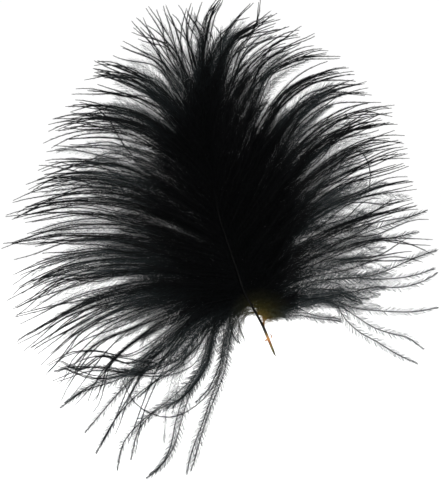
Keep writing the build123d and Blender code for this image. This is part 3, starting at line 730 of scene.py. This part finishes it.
def speckle(nodes, links, place):
    """Fine noise between two brightnesses."""
    noise = nodes.new("ShaderNodeTexNoise")
    noise.inputs["Scale"].default_value = SPECKLE
    noise.inputs["Detail"].default_value = SPECKLE_DETAIL
    links.new(place, noise.inputs["Vector"])
    level = nodes.new("ShaderNodeMapRange")
    for end, noise_value, brightness in zip(("Min", "Max"), SPECKLE_NOISE, SPECKLE_LEVELS):
        level.inputs["From " + end].default_value = noise_value
        level.inputs["To " + end].default_value = brightness
    links.new(noise.outputs["Fac"], level.inputs["Value"])
    return level.outputs["Result"]


def colour_out_from(nodes, links, place, origin, reach, stops):
    """Colours that change with the distance from a point."""
    apart = nodes.new("ShaderNodeVectorMath")
    apart.operation = "DISTANCE"
    apart.inputs[1].default_value = origin
    links.new(place, apart.inputs[0])
    share = nodes.new("ShaderNodeMapRange")
    share.inputs["From Max"].default_value = reach
    links.new(apart.outputs["Value"], share.inputs["Value"])
    ramp = colour_stops(nodes, stops)
    links.new(share.outputs["Result"], ramp.inputs["Fac"])
    return ramp.outputs["Color"]


def dyed(name, stops, reach, roughness, specular, origin=FOOT, far=None):
    """Dyed keratin, whose colour changes with the distance from a point, broken up by speckle.
    Far stops add painted light: a paler grey that grows away from the plume's black middle,
    standing in for light showing through the thin outer fuzz."""
    material, nodes, links, shader = new_material(name, roughness, specular)
    place = nodes.new("ShaderNodeTexCoord").outputs["Object"]
    colour = colour_out_from(nodes, links, place, origin, reach, stops)
    if far:
        both = nodes.new("ShaderNodeVectorMath")
        links.new(colour, both.inputs[0])
        squeezed = nodes.new("ShaderNodeVectorMath")
        squeezed.operation = "MULTIPLY"
        squeezed.inputs[1].default_value = CORE_SQUEEZE
        links.new(place, squeezed.inputs[0])
        # Painted light: paler grey towards the plume's edges, standing in for light showing through the
        # thin fuzz
        painted_light = colour_out_from(nodes, links, squeezed.outputs["Vector"], CORE, PAINTED_LIGHT_REACH, far)
        links.new(painted_light, both.inputs[1])
        colour = both.outputs["Vector"]
    dye = nodes.new("ShaderNodeVectorMath")
    dye.operation = "SCALE"
    links.new(colour, dye.inputs[0])
    links.new(speckle(nodes, links, place), dye.inputs["Scale"])
    links.new(dye.outputs["Vector"], shader.inputs["Base Color"])
    return material


def soft_light(name, place, aim, size, power):
    """A square area light."""
    light = bpy.data.lights.new(name, "AREA")
    light.size, light.energy = size, power
    lamp = bpy.data.objects.new(name, light)
    lamp.location = place
    lamp.rotation_euler = (Vector(aim) - Vector(place)).to_track_quat("-Z", "Y").to_euler()
    bpy.context.scene.collection.objects.link(lamp)


def stage():
    """A plain white floor, white light all round and one soft light."""
    low = CAD_BOX[0].z - FLOOR_DROP
    bpy.ops.mesh.primitive_plane_add(size=FLOOR_SIZE, location=(0, 0, low))
    floor = bpy.context.object
    floor.name = "floor"
    material, _, _, shader = new_material("floor_white", FLOOR_ROUGHNESS, 0.0)
    shader.inputs["Base Color"].default_value = (FLOOR_WHITE, FLOOR_WHITE, FLOOR_WHITE, 1)
    shader.inputs["Emission Color"].default_value = WHITE
    shader.inputs["Emission Strength"].default_value = FLOOR_GLOW
    floor.data.materials.append(material)
    world = bpy.data.worlds.new("studio")
    world.use_nodes = True
    world.node_tree.nodes["Background"].inputs["Color"].default_value = WHITE
    world.node_tree.nodes["Background"].inputs["Strength"].default_value = SKY_STRENGTH
    bpy.context.scene.world = world
    soft_light("key", KEY_PLACE, KEY_AIM, KEY_SIZE, KEY_POWER)
    bpy.context.scene.view_settings.view_transform = "Standard"


def camera():
    """The camera square in front of the plume, far enough off to look flat."""
    distance = LENS / SENSOR * VIEW_SIZE
    data = bpy.data.cameras.new("camera")
    data.lens, data.sensor_width = LENS, SENSOR
    data.clip_start, data.clip_end = NEAREST, FARTHEST
    eye = bpy.data.objects.new("camera", data)
    eye.location = VIEW_CENTRE + Vector((0, -distance, 0))
    eye.rotation_euler = (math.pi / 2, 0, 0)
    bpy.context.scene.collection.objects.link(eye)
    bpy.context.scene.camera = eye


camera()
BARB = dyed("barb_black", [(0.0, (0.30, 0.12, 0.02)), (0.20, (0.12, 0.075, 0.012)),
                           (0.42, (0.035, 0.030, 0.007)), (0.70, (0.010, 0.009, 0.004)),
                           (1.0, (0.0016, 0.0018, 0.0020))], DYE_REACH, 0.5, 0.06)
BARBULE_STOPS = [(0.0, (0.28, 0.14, 0.025)), (0.20, (0.12, 0.085, 0.015)),
                 (0.42, (0.036, 0.033, 0.008)), (0.70, (0.011, 0.011, 0.005)),
                 (1.0, (0.0016, 0.0018, 0.0020))]
# Its far stops paint light on: a cool grey towards the plume's edges, for light showing through the thin
# fuzz
BARBULE = dyed("barbule_painted_light", BARBULE_STOPS, DYE_REACH, 0.65, 0.03,
               far=[(0.0, (0, 0, 0)), (0.32, (0.001, 0.0013, 0.0014)), (0.56, (0.028, 0.035, 0.037)),
                    (1.0, (0.045, 0.055, 0.058))])
# Its far stops paint on a fainter grey light towards the plume's edges, for light showing through the
# fuzz
DARK_BARBULE = dyed("barbule_black", BARBULE_STOPS, DYE_REACH, 0.6, 0.03,
                    far=[(0.0, (0, 0, 0)), (0.4, (0.001, 0.0012, 0.0013)),
                         (1.0, (0.010, 0.012, 0.013))])
SHAFT_BLACK = dyed("shaft_black", [(0.0, (0.006, 0.005, 0.004)), (1.0, (0.003, 0.003, 0.003))],
                   DYE_REACH, 0.5, 0.05)
OLIVE = dyed("aftershaft_olive", [(0.0, (0.30, 0.12, 0.025)), (0.25, (0.14, 0.08, 0.016)),
                                  (0.6, (0.045, 0.038, 0.009)), (1.0, (0.004, 0.004, 0.003))],
             DYE_REACH, 0.5, 0.05)
HORN = dyed("quill_horn", [(0.0, (0.030, 0.028, 0.010)), (0.20, (0.075, 0.066, 0.022)),
                           (0.36, (0.12, 0.065, 0.018)), (0.45, (0.15, 0.048, 0.011)),
                           (0.55, (0.40, 0.175, 0.042)), (0.68, (0.20, 0.125, 0.036)),
                           (0.80, (0.030, 0.022, 0.012)), (0.92, (0.004, 0.004, 0.004))],
            QUILL_LENGTH, 0.45, 0.2, QUILL_END)
SHEATH = dyed("sheath_amber", [(0.0, (0.50, 0.16, 0.03)), (0.62, (0.70, 0.30, 0.06)),
                               (1.0, (0.10, 0.11, 0.16))], SHEATH_REACH, 0.5, 0.35, QUILL_END)
PITH = dyed("pith_white", [(0.0, (0.62, 0.55, 0.42)), (1.0, (0.72, 0.68, 0.58))],
            DYE_REACH, 0.8, 0.2)
SHAFT = np.concatenate([guide_lines("rachis_pith", PITH_RINGS)[0],
                        guide_lines("rachis_tip", TIP_RINGS)[0]])
VANES = {-1: read_vane(LEFT_NODES, LEFT_SWEEP, -1), 1: read_vane(RIGHT_NODES, RIGHT_SWEEP, 1)}
for node, body, side, low, high, strands, veil, kind, inner, reach, seed in STRETCHES:
    rng = np.random.default_rng(seed)
    vane, low, high = VANES[side], low * MM, high * MM
    sleek = np.concatenate([vane_barbs(vane, low, high, strands, rng), own_way(SLEEK, node, rng)])
    if len(sleek):
        feather_pieces("visual_" + node, body, sleek, FINE, rng, node)
    down = down_barbs(vane, low, high, inner, reach, rng)
    feather_pieces("down_" + node, body, down, DOWNY, rng, node)
    feather_pieces("veil_" + node, body, veil_barbs(vane, low, high, veil, rng), kind, rng, node)
    fringed = own_way(FRINGED, node, rng)
    if len(fringed):
        feather_pieces("strands_" + node, body, fringed, FRINGE, rng, node)
for node, body, shaft, wave in (
        ("base_fluff_left", "shaft", RACHIS, FLUFF_WAVE),
        ("base_fluff_right", "shaft", RACHIS, FLUFF_WAVE),
        ("aftershaft_left_barbs", "aftershaft", HYPORACHIS, AFTERSHAFT_WAVE),
        ("aftershaft_right_barbs", "aftershaft", HYPORACHIS, AFTERSHAFT_WAVE),
        ("aftershaft_top_barbs", "aftershaft", HYPORACHIS, AFTERSHAFT_WAVE)):
    rng = np.random.default_rng(FLUFF_SEED)
    lines = np.repeat(rooted(guide_lines(node), shaft), FLUFF_COPIES, axis=0)
    lines = waved(np.array([smooth_line(line, SHARE) for line in lines]), wave, rng)
    feather_pieces("visual_" + node, body, lines, LIGHT_FRINGE, rng, node)
rng = np.random.default_rng(TUFT_SEED)
feather_pieces("visual_crown_tuft", "crown", own_way(TUFT, "crown_tuft", rng), FINE, rng,
               "crown_tuft")
for node, body, rows in (("rachis", "shaft", RACHIS), ("hyporachis", "aftershaft", HYPORACHIS)):
    stem = np.array(rows)[BARE_ROWS:, :3]
    lining = np.array([smooth_line((stem + (0, behind, 0)) * MM, SHARE) for behind in LINING_AT])
    feather_pieces(f"visual_{node}_barbules", body, lining, LINING, rng, node)
round_piece("visual_rachis", "shaft", RACHIS, SHAFT_BLACK, "rachis")
round_piece("visual_rachis_tip", "crown", TOP, SHAFT_BLACK, "rachis_tip")
round_piece("visual_hyporachis", "aftershaft", HYPORACHIS, OLIVE, "hyporachis")
round_piece("visual_calamus", "quill", [(x, 0.0, z, radius) for x, z, radius in QUILL], HORN,
            "calamus")
for number, row in enumerate(FLAKES):
    flake_piece(f"visual_sheath_flake_{number + 1}", *row, SHEATH)
for node, material in (("rachis_pith", PITH), ("pulp_caps", PITH), ("quill_plug", HORN)):
    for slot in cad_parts[node].material_slots:
        slot.material = material
stage()
